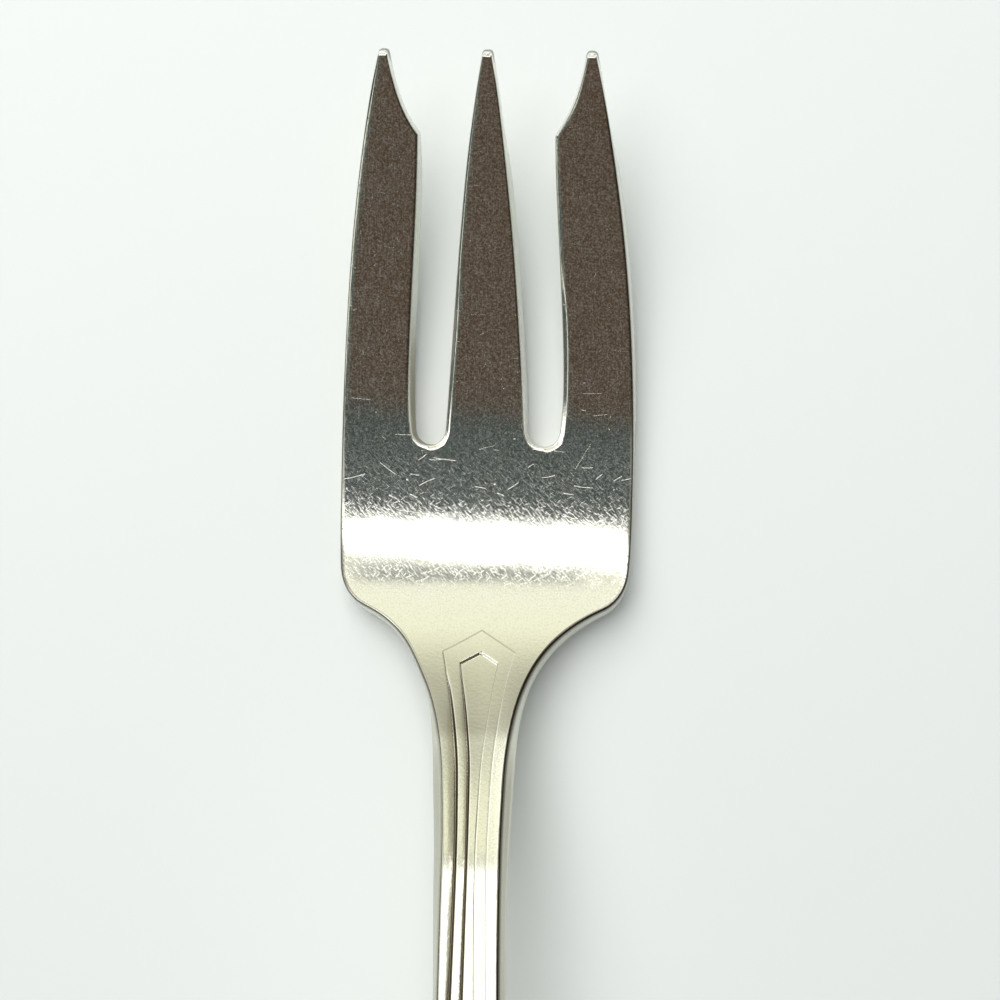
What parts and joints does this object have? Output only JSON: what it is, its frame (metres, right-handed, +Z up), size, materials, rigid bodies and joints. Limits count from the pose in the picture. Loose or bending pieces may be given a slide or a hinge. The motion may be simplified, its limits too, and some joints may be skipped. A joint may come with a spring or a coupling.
{
  "type": "cocktail fork",
  "caption": "Small silver-plated fork with broad cut outer tines, flat palm and a reeded neck with a pointed sunk panel.",
  "frame": {"origin": "centre of the bounding box, on the table that the fork lies on face up", "axes": "+Z up out of the face, +Y along the fork towards the tips of the tines, +X across the tines to the right"},
  "size_m": [0.018, 0.145, 0.0088],
  "materials": {
    "silver_plate": "worn polished silver plate, scratched on the head and satin along the handle"
  },
  "bodies": {
    "root": {"fork": "silver_plate"}
  },
  "joints": []
}
